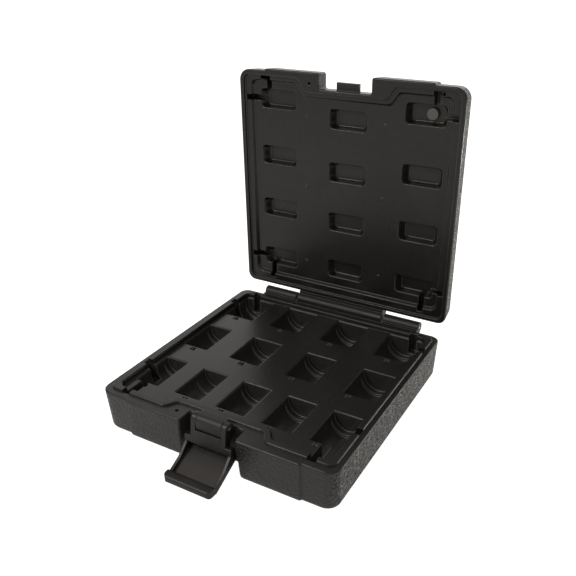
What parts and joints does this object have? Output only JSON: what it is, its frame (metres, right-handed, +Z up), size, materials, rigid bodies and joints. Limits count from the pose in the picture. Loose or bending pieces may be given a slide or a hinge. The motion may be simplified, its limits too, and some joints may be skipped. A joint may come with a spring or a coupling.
{
  "type": "tool case",
  "caption": "Open, empty moulded plastic tool case: socket pockets in the base, a hinged lid with shallow recesses, and a swinging front latch.",
  "frame": {"origin": "middle of the base's underside, where the case stands", "axes": "+X to the right seen from the latch, +Y to the hinge at the back, +Z up"},
  "size_m": [0.256, 0.3244, 0.3095],
  "materials": {
    "shell_plastic": "grained",
    "tray_plastic": "satin",
    "latch_plastic": "satin",
    "pad_plastic": "matte",
    "pin_steel": "drawn"
  },
  "bodies": {
    "base": {"base_shell": "shell_plastic", "base_tray": "tray_plastic", "hinge_pin_left": "pin_steel", "hinge_pin_right": "pin_steel", "latch_pin": "pin_steel"},
    "lid": {"lid_shell": "shell_plastic", "lid_tray": "tray_plastic", "lid_pad": "pad_plastic"},
    "latch": {"latch": "latch_plastic"}
  },
  "joints": [
    {"name": "lid_hinge", "type": "hinge", "parent": "base", "child": "lid", "pos_m": [0, 0.1363, 0.0452], "axis": [1, 0, 0], "range_deg": [0, 90]},
    {"name": "latch_pivot", "type": "hinge", "parent": "base", "child": "latch", "pos_m": [0, -0.1186, 0.0466], "axis": [-1, 0, 0], "range_deg": [0, 150]}
  ]
}
